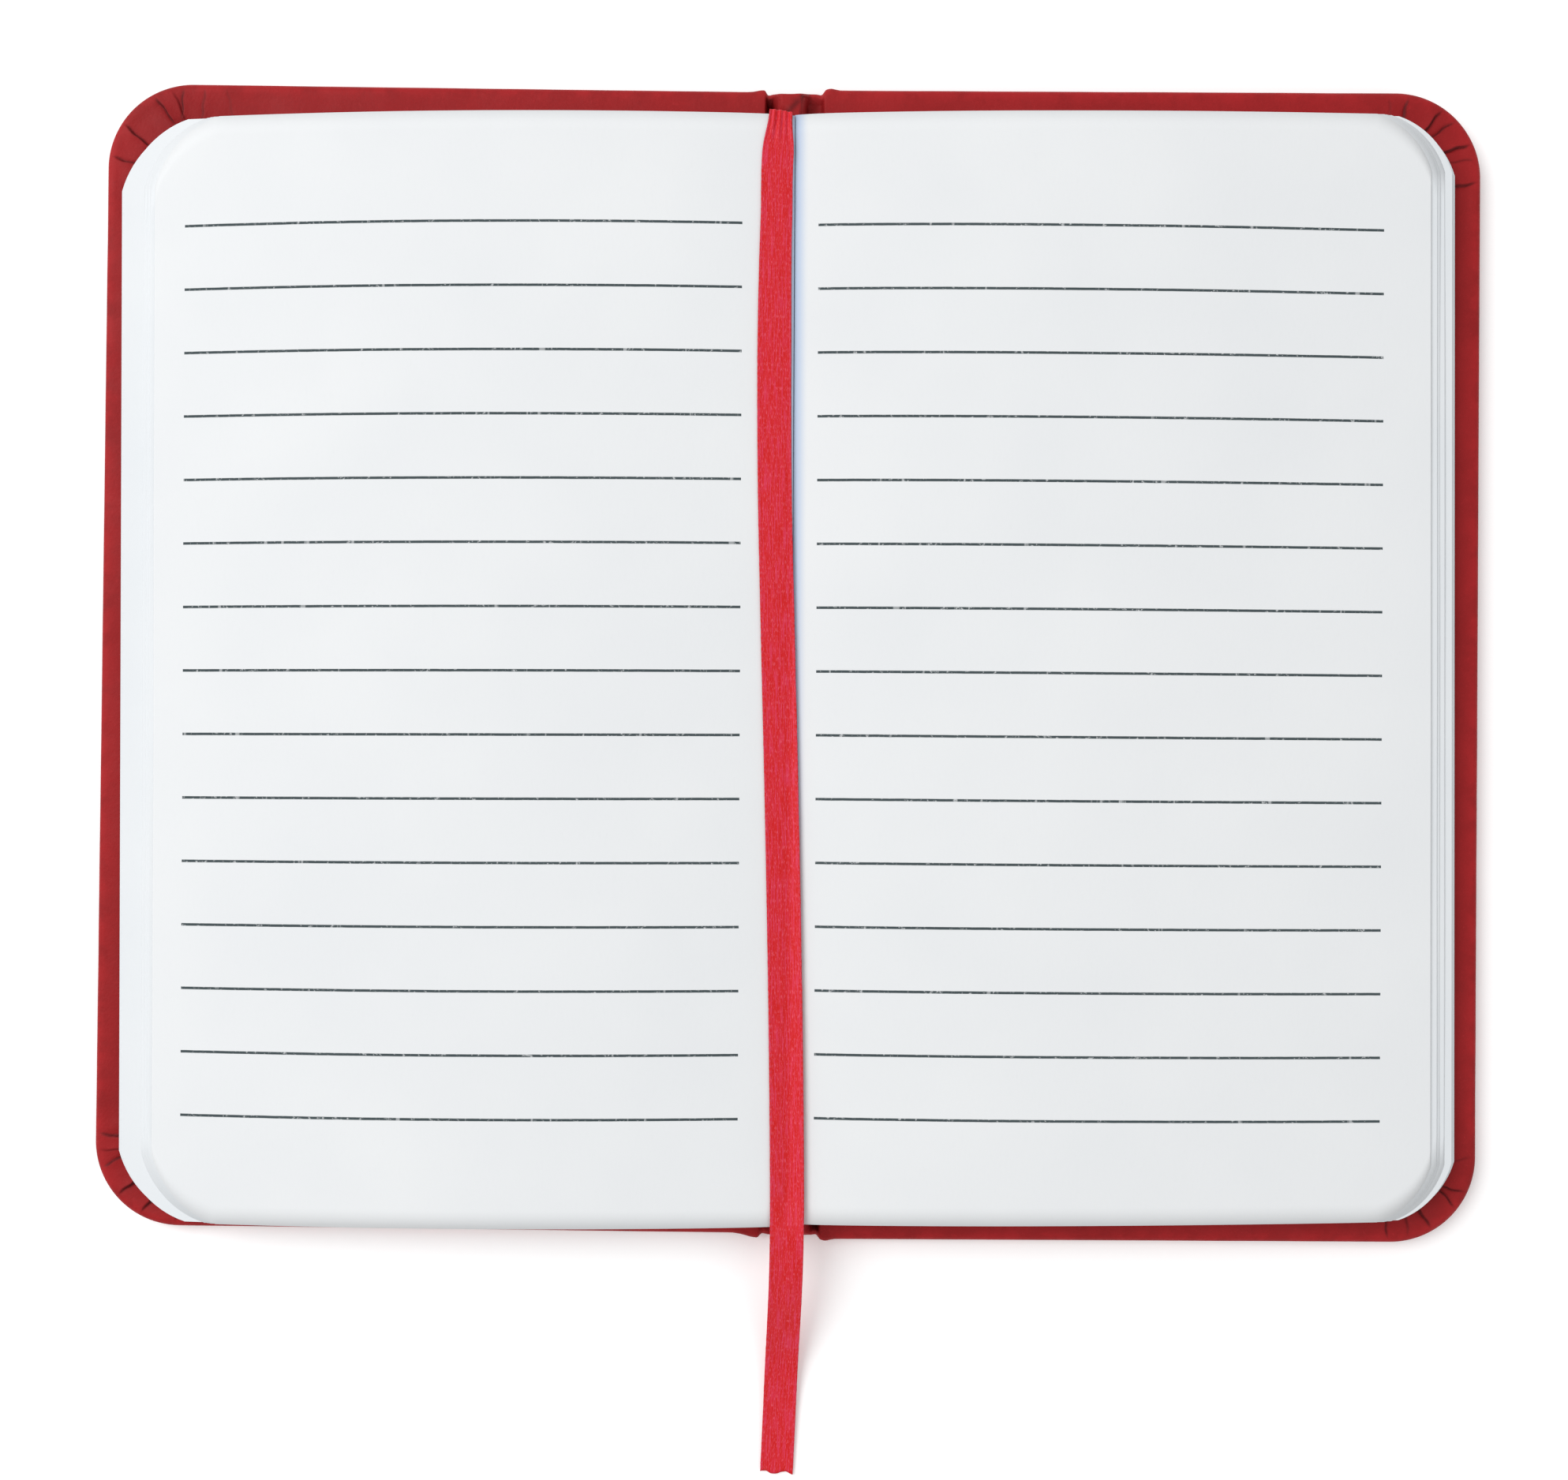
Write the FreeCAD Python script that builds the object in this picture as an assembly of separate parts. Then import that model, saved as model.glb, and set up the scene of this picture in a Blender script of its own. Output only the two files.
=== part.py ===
"""Pocket notebook with a stitched block, soft spine and ribbon marker, lying open.

Units are millimetres. X runs across the open spread (front cover at -X, back
cover at +X), +Y points to the head of the pages and +Z is up. The origin is on
the surface under the open book, below the gutter. Everything that turns does so
about one line along Y at the gutter, GUTTER_AXIS_Z above that surface.
"""
import FreeCAD, Part
import math
import os

from FreeCAD import Vector

# Covers
COVER_HALF_HEIGHT = 63.5
COVER_INNER = 3.5
COVER_OUTER = 75.8
COVER_CORNER = 9.4
SKIN = 0.35
BOARD = 1.8
TURN_IN = 12.0
PASTE_MARGIN = 2.8
PASTE = 0.12

# Leaves and sections
BLOCK_HEAD = 59.4
BLOCK_TAIL = -60.6
LEAF_CORNER = 9.0
LEAF_WIDTH = 72.8
UPPER_LEAF_WIDTH = 70.8
TOP_LEAF_WIDTH = 69.5
RIGHT_LEAF_ROOT = 2.2
SECTIONS_PER_SIDE = 4
UPPER_LEAVES = 3

# Levels
COVER_TOP = 2 * SKIN + BOARD
BLOCK_BASE = COVER_TOP + PASTE + 0.1
FORE_EDGE_TOP = 6.2
SHOULDER_TOP = 7.0
LEFT_CREST = 8.0
RIGHT_CREST = 7.4
BACK_TOP = 5.7
GUTTER_AXIS_Z = 7.8

# Places across the page, as distances from the gutter
BACK_BASE_X = 2.2
BACK_TOP_X = 1.05
SHOULDER_MID = (0.6, 6.5)
SHOULDER_END = 2.3
LEFT_CREST_X = 27.0
RIGHT_CREST_X = 24.0

# Share of the block's height where each layer ends
FLYLEAF_SHARE = 0.04
SECTION_SHARE = 0.82
UPPER_SHARE = 0.95
LEAF_SHARE = 0.965
FOLD_BULGE = 0.12
TRIM = 1.0

# Spine
RIDGE_BASE_X = 2.2
RIDGE_TOP_X = 0.35
RIDGE_TOP_Z = 5.9
LINING = 0.1
LINING_GAP = 0.06
THREAD_RADIUS = 0.08
THREAD_STATIONS = (-40.0, -13.0, 13.0, 40.0)

# Ribbon: the points that its flat route turns at
RIBBON_WIDTH = 3.65
RIBBON_THICK = 0.2
RIBBON_SPLIT = 9
RIBBON_ROUTE = [
    (-1.30, 59.45, 7.50),
    (-1.95, 50.50, 7.52),
    (-2.12, 36.00, 7.50),
    (-2.02, 20.00, 7.53),
    (-1.62, 5.00, 7.50),
    (-1.12, -12.00, 7.52),
    (-0.72, -28.00, 7.50),
    (-0.42, -43.00, 7.52),
    (-0.26, -55.00, 7.46),
    (-0.24, -62.50, 7.05),
    (-0.36, -68.00, 5.60),
    (-0.56, -73.00, 3.20),
    (-0.78, -78.00, 1.10),
    (-1.00, -84.20, 0.30),
    (-1.25, -90.00, 0.22),
]

FRONT = -1
BACK = 1
Y_AXIS = Vector(0, 1, 0)


def place(side, across, y, z):
    """A point at a distance across from the gutter, on one side of the book."""
    return Vector(side * across, y, z)


def rounded_half(side, inner, outer, tail, head, radius, bottom, top):
    """A plate with two rounded corners at its outer edge."""
    bend = radius * (1 - math.sqrt(0.5))
    line = Part.LineSegment
    edges = [
        line(place(side, inner, tail, bottom), place(side, outer - radius, tail, bottom)),
        Part.Arc(place(side, outer - radius, tail, bottom),
                 place(side, outer - bend, tail + bend, bottom),
                 place(side, outer, tail + radius, bottom)),
        line(place(side, outer, tail + radius, bottom), place(side, outer, head - radius, bottom)),
        Part.Arc(place(side, outer, head - radius, bottom),
                 place(side, outer - bend, head - bend, bottom),
                 place(side, outer - radius, head, bottom)),
        line(place(side, outer - radius, head, bottom), place(side, inner, head, bottom)),
        line(place(side, inner, head, bottom), place(side, inner, tail, bottom)),
    ]
    wire = Part.Wire([edge.toShape() for edge in edges])
    return Part.Face(wire).extrude(Vector(0, 0, top - bottom))


def cover_plate(side, inset, inner, bottom, top):
    """A plate that follows the cover's outline at an inset."""
    return rounded_half(side, inner, COVER_OUTER - inset,
                        inset - COVER_HALF_HEIGHT, COVER_HALF_HEIGHT - inset,
                        COVER_CORNER - min(inset, COVER_CORNER - 1), bottom, top)


def board(side):
    return cover_plate(side, SKIN, COVER_INNER, SKIN, SKIN + BOARD)


def cover_skin(side):
    """Covering material under the board, round its edges and turned in on top."""
    shell = cover_plate(side, 0, COVER_INNER, 0, COVER_TOP)
    window = cover_plate(side, TURN_IN, COVER_INNER, SKIN + BOARD, COVER_TOP)
    return shell.cut(board(side)).cut(window)


def pastedown(side):
    """Endpaper glued to the board, over the turned-in edges."""
    fill = cover_plate(side, TURN_IN, COVER_INNER, SKIN + BOARD, COVER_TOP)
    sheet = cover_plate(side, PASTE_MARGIN, COVER_INNER, COVER_TOP, COVER_TOP + PASTE)
    return fill.fuse(sheet).removeSplitter()


def crest(side):
    """Distance from the gutter and height of the arched pages' highest line."""
    if side == FRONT:
        return LEFT_CREST_X, LEFT_CREST
    return RIGHT_CREST_X, RIGHT_CREST


def level(share, height):
    """Height of a layer that lies at a share of the block's full height."""
    return BLOCK_BASE + share * (height - BLOCK_BASE)


def back_x(share):
    """Distance of the block's slanting back from the gutter."""
    return BACK_BASE_X + share * (BACK_TOP_X - BACK_BASE_X)


def layer_edges(side, share):
    """Edges of one layer boundary, from the back to just past the fore-edge."""
    crest_x, crest_z = crest(side)
    start = back_x(share)
    tail = BLOCK_TAIL - TRIM
    first = place(side, start, tail, level(share, BACK_TOP))
    last = place(side, LEAF_WIDTH + TRIM, tail, level(share, FORE_EDGE_TOP))
    if share == 0:
        return [Part.LineSegment(first, last).toShape()], first, last
    bend = place(side, start + SHOULDER_MID[0], tail, level(share, SHOULDER_MID[1]))
    shoulder = place(side, start + SHOULDER_END, tail, level(share, SHOULDER_TOP))
    top = place(side, crest_x, tail, level(share, crest_z))
    curves = [Part.Arc(first, bend, shoulder), Part.Arc(shoulder, top, last)]
    return [curve.toShape() for curve in curves], first, last


def layer(side, low, high, width, inner=0.0):
    """Paper between two shares of the block's height, folded at the back and trimmed."""
    lower, low_back, low_fore = layer_edges(side, low)
    upper, high_back, high_fore = layer_edges(side, high)
    middle = (low_back + high_back) * 0.5
    fold = middle - place(side, FOLD_BULGE, 0, 0)
    back = Part.Arc(low_back, fold, high_back).toShape()
    fore = Part.LineSegment(low_fore, high_fore).toShape()
    wire = Part.Wire(Part.__sortEdges__(lower + [fore] + upper + [back]))
    block = Part.Face(wire).extrude(Y_AXIS * (BLOCK_HEAD - BLOCK_TAIL + 2 * TRIM))
    outline = rounded_half(side, inner, width, BLOCK_TAIL, BLOCK_HEAD, LEAF_CORNER,
                           0, 2 * GUTTER_AXIS_Z)
    return block.common(outline).Solids[0]


def section(side, index):
    """One stitched section, counted upwards from the cover."""
    step = (SECTION_SHARE - FLYLEAF_SHARE) / SECTIONS_PER_SIDE
    low = FLYLEAF_SHARE + index * step
    return layer(side, low, low + step, LEAF_WIDTH)


def upper_leaves(side):
    """Loose leaves under the open page, each a little shorter at the fore-edge."""
    step = (UPPER_SHARE - SECTION_SHARE) / UPPER_LEAVES
    fan = (LEAF_WIDTH - UPPER_LEAF_WIDTH) / UPPER_LEAVES
    leaves = []
    for index in range(UPPER_LEAVES):
        low = SECTION_SHARE + index * step
        width = LEAF_WIDTH - (index + 1) * fan
        leaves.append(layer(side, low, low + step, width))
    return Part.Compound(leaves)


def top_leaf(side):
    inner = 0.0 if side == FRONT else RIGHT_LEAF_ROOT
    return layer(side, LEAF_SHARE, 1.0, TOP_LEAF_WIDTH, inner)


def ridge_face(offset, thick, flat_end):
    """Outline of the folded-up spine: a flat foot, a slanting leg, a round top."""
    tail = -COVER_HALF_HEIGHT
    rise = Vector(RIDGE_BASE_X - RIDGE_TOP_X, 0, RIDGE_TOP_Z)
    normal = Vector(rise.z, 0, rise.x).normalize()

    def run(shift, foot_z):
        """Half of the outline, shifted outwards from the middle line."""
        leg_top = Vector(RIDGE_TOP_X + shift * normal.x, tail, RIDGE_TOP_Z + shift * normal.z)
        slope = rise.x / rise.z
        foot_x = leg_top.x + (leg_top.z - foot_z) * slope
        return [Vector(flat_end, tail, foot_z), Vector(foot_x, tail, foot_z), leg_top]

    half = thick / 2
    inner = run(offset - half, 0.0 if offset == 0 else BLOCK_BASE)
    outer = run(offset + half, thick if offset == 0 else BLOCK_BASE)
    if offset != 0:
        inner = inner[1:]
        outer = outer[1:]

    def mirrored(point):
        return Vector(-point.x, point.y, point.z)

    def side_edges(points):
        pairs = zip(points, points[1:])
        return [Part.LineSegment(a, b).toShape() for a, b in pairs]

    def cap(point):
        top = Vector(0, tail, point.z + abs(point.x) * 0.75)
        return Part.Arc(point, top, mirrored(point)).toShape()

    edges = side_edges(inner) + side_edges(outer)
    edges += side_edges([mirrored(point) for point in inner])
    edges += side_edges([mirrored(point) for point in outer])
    edges += [cap(inner[-1]), cap(outer[-1])]
    edges.append(Part.LineSegment(inner[0], outer[0]).toShape())
    edges.append(Part.LineSegment(mirrored(inner[0]), mirrored(outer[0])).toShape())
    return Part.Face(Part.Wire(Part.__sortEdges__(edges)))


def spine_skin():
    """Covering material between the boards, folded up inside the open book."""
    return ridge_face(0.0, SKIN, COVER_INNER).extrude(Y_AXIS * 2 * COVER_HALF_HEIGHT)


def spine_lining():
    """Thin cloth glued along the backs of the sections."""
    offset = SKIN / 2 + LINING_GAP + LINING / 2
    strip = ridge_face(offset, LINING, 0).extrude(Y_AXIS * (BLOCK_HEAD - BLOCK_TAIL))
    strip.translate(Vector(0, COVER_HALF_HEIGHT + BLOCK_TAIL, 0))
    return strip


def back_line(side, gap):
    """Lower and upper points of a line beside the block's slanting back."""
    low = place(side, back_x(0.06) - gap, 0, level(0.06, BACK_TOP))
    high = place(side, back_x(0.94) - gap, 0, level(0.94, BACK_TOP))
    return low, high


def sewing_thread(side):
    """Thread that links the sections' folds at each sewing station."""
    low, high = back_line(side, FOLD_BULGE + THREAD_RADIUS + 0.02)
    length = (high - low).Length
    threads = []
    for station in THREAD_STATIONS:
        start = low + Y_AXIS * station
        threads.append(Part.makeCylinder(THREAD_RADIUS, length, start, high - low))
    return Part.Compound(threads)


def ribbon_anchor():
    """End of the ribbon, glued inside the spine and brought up over the head."""
    glued_length = 12.0
    thick = 0.14
    low, high = back_line(FRONT, FOLD_BULGE + thick + 0.02)
    low = low + (high - low) * 0.2
    start = Y_AXIS * (BLOCK_HEAD - glued_length)
    corners = [low, low + Vector(-thick, 0, 0), high + Vector(-thick, 0, 0), high, low]
    face = Part.Face(Part.makePolygon([corner + start for corner in corners]))
    glued = face.extrude(Y_AXIS * (glued_length + RIBBON_THICK))
    riser_foot = 5.2
    riser = Part.makeBox(2.1, RIBBON_THICK, RIBBON_ROUTE[0][2] + RIBBON_THICK / 2 - riser_foot,
                         Vector(-2.9, BLOCK_HEAD, riser_foot))
    shape = glued.fuse(riser)
    shape.translate(Vector(0, 0.05, 0))
    return shape.removeSplitter()


def ribbon_path(points, report):
    """Straight runs joined by tangent arcs that are as large as the runs allow."""
    points = [Vector(*point) for point in points]
    edges = []
    start = points[0]
    for before, corner, after in zip(points, points[1:], points[2:]):
        to_corner = corner - before
        from_corner = after - corner
        turn = to_corner.getAngle(from_corner)
        cut = 0.45 * min(to_corner.Length, from_corner.Length)
        radius = cut / math.tan(turn / 2)
        report.append(radius)
        enter = corner - to_corner.normalize() * cut
        leave = corner + from_corner.normalize() * cut
        toward = ((enter + leave) * 0.5 - corner).normalize()
        centre_distance = math.hypot(radius, cut)
        middle = corner + toward * (centre_distance - radius)
        edges.append(Part.LineSegment(start, enter).toShape())
        edges.append(Part.Arc(enter, middle, leave).toShape())
        start = leave
    edges.append(Part.LineSegment(start, points[-1]).toShape())
    return Part.Wire(edges)


def ribbon_section(wire):
    """The ribbon's flat section, level from side to side."""
    start = wire.OrderedEdges[0]
    ahead = start.tangentAt(start.FirstParameter)
    across = Vector(RIBBON_WIDTH / 2, 0, 0)
    up = across.cross(ahead).normalize() * (RIBBON_THICK / 2)
    origin = start.valueAt(start.FirstParameter)
    corners = [origin + across + up, origin - across + up,
               origin - across - up, origin + across - up, origin + across + up]
    return Part.makePolygon(corners)


def sweep_ribbon(points, name):
    radii = []
    wire = ribbon_path(points, radii)
    shell = Part.BRepOffsetAPI.MakePipeShell(wire)
    shell.setBiNormalMode(Vector(1, 0, 0))
    shell.add(ribbon_section(wire))
    shell.build()
    shell.makeSolid()
    solid = shell.shape()
    expected = RIBBON_WIDTH * RIBBON_THICK * wire.Length
    print(name, "length", round(wire.Length, 2), "volume", round(solid.Volume, 2),
          "expected", round(expected, 2), "smallest radius", round(min(radii), 1))
    print(name, "radii", [round(radius, 1) for radius in radii])
    return solid


def ribbon_pieces():
    """The stretch along the pages, and the tail that hangs out past the covers."""
    before = Vector(*RIBBON_ROUTE[RIBBON_SPLIT - 1])
    after = Vector(*RIBBON_ROUTE[RIBBON_SPLIT])
    middle = (before + after) * 0.5
    joint = (middle.x, middle.y, middle.z)
    marker = sweep_ribbon(RIBBON_ROUTE[:RIBBON_SPLIT] + [joint], "ribbon_marker")
    tail = sweep_ribbon([joint] + RIBBON_ROUTE[RIBBON_SPLIT:], "ribbon_tail")
    return marker, tail


def all_nodes():
    nodes = {"spine_skin": spine_skin(), "spine_lining": spine_lining()}
    for side, name in ((FRONT, "front"), (BACK, "back")):
        nodes[name + "_board"] = board(side)
        nodes[name + "_cover_skin"] = cover_skin(side)
        nodes[name + "_pastedown"] = pastedown(side)
        nodes[name + "_flyleaf"] = layer(side, 0.0, FLYLEAF_SHARE, LEAF_WIDTH)
        nodes[name + "_sewing_thread"] = sewing_thread(side)
        nodes[name + "_upper_leaves"] = upper_leaves(side)
    for index in range(SECTIONS_PER_SIDE):
        nodes["section_%d" % (index + 1)] = section(FRONT, index)
        nodes["section_%d" % (2 * SECTIONS_PER_SIDE - index)] = section(BACK, index)
    nodes["left_leaf"] = top_leaf(FRONT)
    nodes["right_leaf"] = top_leaf(BACK)
    nodes["ribbon_anchor"] = ribbon_anchor()
    nodes["ribbon_marker"], nodes["ribbon_tail"] = ribbon_pieces()
    return nodes


def write_nodes():
    os.makedirs("parts", exist_ok=True)
    for name, shape in all_nodes().items():
        box = shape.BoundBox
        print("%-20s valid %s solids %d volume %.2f  x %.2f..%.2f y %.2f..%.2f z %.2f..%.2f" % (
            name, shape.isValid(), len(shape.Solids), shape.Volume,
            box.XMin, box.XMax, box.YMin, box.YMax, box.ZMin, box.ZMax))
        shape.exportStep("parts/" + name + ".step")


write_nodes()
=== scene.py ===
"""Looks of the open pocket notebook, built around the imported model.

Shapes are worked out in millimetres and turned into metres by build_mesh().
"""

import math

import bpy
import numpy as np
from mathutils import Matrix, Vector, noise


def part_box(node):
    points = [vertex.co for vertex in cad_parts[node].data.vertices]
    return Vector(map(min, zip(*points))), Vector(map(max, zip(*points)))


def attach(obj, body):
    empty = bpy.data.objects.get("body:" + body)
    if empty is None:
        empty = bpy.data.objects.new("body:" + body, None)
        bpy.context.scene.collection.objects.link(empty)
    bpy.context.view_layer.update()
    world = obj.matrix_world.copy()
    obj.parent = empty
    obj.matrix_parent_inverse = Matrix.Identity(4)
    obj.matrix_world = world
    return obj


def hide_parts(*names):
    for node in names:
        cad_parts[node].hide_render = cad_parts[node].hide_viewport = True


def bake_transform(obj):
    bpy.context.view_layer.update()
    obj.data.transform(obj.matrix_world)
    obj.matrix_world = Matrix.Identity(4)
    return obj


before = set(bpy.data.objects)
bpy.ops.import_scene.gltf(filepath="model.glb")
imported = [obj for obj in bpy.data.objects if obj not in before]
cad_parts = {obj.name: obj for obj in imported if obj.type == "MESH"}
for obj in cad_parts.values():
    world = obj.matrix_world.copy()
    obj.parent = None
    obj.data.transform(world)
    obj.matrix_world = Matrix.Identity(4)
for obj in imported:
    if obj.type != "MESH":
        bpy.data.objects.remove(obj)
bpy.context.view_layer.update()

MM = 0.001

# ---------------------------------------------------------------- sizes from the frame


def box_mm(node):
    low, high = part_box(node)
    return np.array(low) / MM, np.array(high) / MM


_COVER_LOW, COVER_HIGH = box_mm("back_cover_skin")
BLOCK_LOW, BLOCK_HIGH = box_mm("back_flyleaf")
PASTE_LOW, PASTE_HIGH = box_mm("back_pastedown")
BOARD_LOW, BOARD_HIGH = box_mm("back_board")
COVER_OUTER = COVER_HIGH[0]
COVER_HALF = COVER_HIGH[1]
COVER_TOP = COVER_HIGH[2]
BLOCK_TAIL = BLOCK_LOW[1]
BLOCK_HEAD = BLOCK_HIGH[1]
BLOCK_BASE = BLOCK_LOW[2]
BLOCK_WIDTH = BLOCK_HIGH[0]

CORNER = 9.4
SKIN = 0.25
FRONT_SKEW = math.radians(0.45)
FRONT_TAIL = 0.6
FRONT_HEAD = 0.26
FRONT_WIDER = 0.45

# The open pages, in millimetres from the gutter and the table:
#   crest_x, crest_z     where the arched page is highest, and how high
#   inner_fall, outer_fall, dip, droop   how far it falls to the gutter and to the fore-edge
#   bulk, fan, top       fore-edges of the sections (bottom, top), the loose leaves, the open leaf
#   shift, slope, lean   how the trimmed leaves sit off centre and out of square
#   cut, radius          the die-cut corner
PAGES = {
    "left": {"sign": -1, "crest_x": 28.0, "crest_z": 8.0, "inner_fall": 1.15, "outer_fall": 3.5,
             "dip": 0.5, "droop": 0.25, "bulk": (73.8, 73.2), "fan": (70.9, 70.5, 70.15),
             "top": 69.5, "shift": -0.25, "slope": -0.004, "lean": 0.002,
             "cut": 7.3, "radius": 10.5},
    "right": {"sign": 1, "crest_x": 25.0, "crest_z": 7.4, "inner_fall": 0.9, "outer_fall": 2.0,
              "dip": 0.4, "droop": 0.2, "bulk": (72.7, 71.9), "fan": (71.0, 70.4, 70.1),
              "top": 69.3, "shift": -0.1, "slope": 0.0075, "lean": 0.0045,
              "cut": 6.0, "radius": 9.0},
}
DIP_REACH = 1.8
LEAF_FOLD = 0.015
# Columns along a stack's straight edge, round its corner, and rows up its fore-edge
STACK_SAMPLES = (34, 14, 40)
FLYLEAF_SHARE = 0.04
SECTION_SHARE = 0.88
UPPER_SHARE = 0.97
LEAF_SHARE = 0.98

# The spine, folded up into a ridge inside the open book
SPINE_FLOOR = 0.5
# Half the width of the spine's ridge at its foot, in millimetres
RIDGE_FOOT = 2.3
RIDGE_HALF = 0.45
RIDGE_TOP = 5.3
RIM_TOP = 2.25
RIM_INSET = 0.42
# Its turned-in ends stand nearly as high, set back at the head (1) and tail (-1)
CROWN_TOP = 4.6
CROWN_LOW = 2.0
CROWN_SET_BACK = {1: 0.83, -1: 0.65}


def smooth(low, high, value):
    t = np.clip((value - low) / (high - low), 0, 1)
    return t * t * (3 - 2 * t)


def wander(x, y, z=0.0):
    return noise.noise(Vector((x, y, z)))


# ---------------------------------------------------------------- mesh helpers


def build_mesh(name, points, faces, material, smooth_faces=True):
    """An object in the row frame from points in millimetres."""
    mesh = bpy.data.meshes.new(name)
    mesh.from_pydata([tuple(p) for p in np.asarray(points) * MM], [], faces)
    mesh.validate()
    mesh.update()
    mesh.polygons.foreach_set("use_smooth", [smooth_faces] * len(mesh.polygons))
    obj = bpy.data.objects.new(name, mesh)
    bpy.context.scene.collection.objects.link(obj)
    mesh.materials.append(material)
    return obj


def store_rest(obj):
    """Keeps each vertex's place at rest, so that patterns stay put when the piece bends."""
    mesh = obj.data
    places = np.zeros(len(mesh.vertices) * 3, np.float32)
    mesh.vertices.foreach_get("co", places)
    attribute = mesh.attributes.new("rest_place", "FLOAT_VECTOR", "POINT")
    attribute.data.foreach_set("vector", places)


def store_value(obj, name, values):
    attribute = obj.data.attributes.new(name, "FLOAT", "POINT")
    attribute.data.foreach_set("value", np.asarray(values, np.float32))


def apply_modifiers(obj):
    """Replaces the mesh with its evaluated form."""
    graph = bpy.context.evaluated_depsgraph_get()
    graph.update()
    mesh = bpy.data.meshes.new_from_object(obj.evaluated_get(graph))
    obj.modifiers.clear()
    obj.data = mesh


def grid_faces(rows, columns, first=0, flip=False):
    faces = []
    for row in range(rows - 1):
        for column in range(columns - 1):
            a = first + row * columns + column
            face = [a, a + 1, a + columns + 1, a + columns]
            faces.append(face[::-1] if flip else face)
    return faces


def ring_faces(rings, count, flip=False):
    """Faces between closed rings of the same length."""
    faces = []
    for ring in range(rings - 1):
        for k in range(count):
            a = ring * count + k
            b = ring * count + (k + 1) % count
            face = [a, b, b + count, a + count]
            faces.append(face[::-1] if flip else face)
    return faces


# ---------------------------------------------------------------- material helpers


class Maker:
    """Short calls for building one node material."""

    def __init__(self, name):
        self.material = bpy.data.materials.new(name)
        self.material.use_nodes = True
        self.tree = self.material.node_tree
        self.shader = self.tree.nodes["Principled BSDF"]

    def node(self, kind, **settings):
        made = self.tree.nodes.new(kind)
        for key, value in settings.items():
            setattr(made, key, value)
        return made

    def link(self, source, target):
        self.tree.links.new(source, target)

    def set(self, name, value):
        self.shader.inputs[name].default_value = value

    def place(self, scale=(1, 1, 1), attribute="rest_place"):
        """The stored rest place, stretched by scale."""
        source = self.node("ShaderNodeAttribute", attribute_name=attribute)
        mapping = self.node("ShaderNodeMapping")
        mapping.inputs["Scale"].default_value = scale
        self.link(source.outputs["Vector"], mapping.inputs["Vector"])
        return mapping.outputs["Vector"]

    def object_place(self, scale=(1, 1, 1)):
        source = self.node("ShaderNodeTexCoord")
        mapping = self.node("ShaderNodeMapping")
        mapping.inputs["Scale"].default_value = scale
        self.link(source.outputs["Object"], mapping.inputs["Vector"])
        return mapping.outputs["Vector"]

    def noise(self, where, scale, detail=3.0, rough=0.5):
        made = self.node("ShaderNodeTexNoise")
        made.inputs["Scale"].default_value = scale
        made.inputs["Detail"].default_value = detail
        made.inputs["Roughness"].default_value = rough
        self.link(where, made.inputs["Vector"])
        return made.outputs["Fac"]

    def math(self, operation, first, second=None, third=None):
        made = self.node("ShaderNodeMath", operation=operation)
        for socket, value in zip(made.inputs, (first, second, third)):
            if value is None:
                continue
            if isinstance(value, (int, float)):
                socket.default_value = value
            else:
                self.link(value, socket)
        return made.outputs[0]

    def ramp(self, value, stops):
        """Colour or grey ramp from (position, colour) pairs."""
        made = self.node("ShaderNodeValToRGB")
        elements = made.color_ramp.elements
        while len(elements) < len(stops):
            elements.new(0.5)
        for element, (position, colour) in zip(elements, stops):
            element.position = position
            element.color = (*colour, 1) if len(colour) == 3 else colour
        self.link(value, made.inputs["Fac"])
        return made.outputs["Color"]

    def span(self, value, low, high, out_low=0.0, out_high=1.0):
        made = self.node("ShaderNodeMapRange", interpolation_type="SMOOTHSTEP")
        for key, number in (("From Min", low), ("From Max", high),
                            ("To Min", out_low), ("To Max", out_high)):
            made.inputs[key].default_value = number
        self.link(value, made.inputs["Value"])
        return made.outputs["Result"]

    def mix(self, factor, first, second):
        made = self.node("ShaderNodeMix", data_type="RGBA")
        for socket, value in ((made.inputs[0], factor), (made.inputs[6], first),
                              (made.inputs[7], second)):
            if isinstance(value, (tuple, list)):
                socket.default_value = (*value, 1)
            elif isinstance(value, (int, float)):
                socket.default_value = value
            else:
                self.link(value, socket)
        return made.outputs[2]

    def split(self, where):
        made = self.node("ShaderNodeSeparateXYZ")
        self.link(where, made.inputs[0])
        return made.outputs[0], made.outputs[1], made.outputs[2]

    def value_of(self, attribute):
        return self.node("ShaderNodeAttribute", attribute_name=attribute).outputs["Fac"]

    def colour(self, socket):
        self.link(socket, self.shader.inputs["Base Color"])

    def roughness(self, socket):
        self.link(socket, self.shader.inputs["Roughness"])

    def bump(self, height, strength, distance):
        made = self.node("ShaderNodeBump")
        made.inputs["Strength"].default_value = strength
        made.inputs["Distance"].default_value = distance
        self.link(height, made.inputs["Height"])
        self.link(made.outputs["Normal"], self.shader.inputs["Normal"])


# ---------------------------------------------------------------- materials


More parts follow.
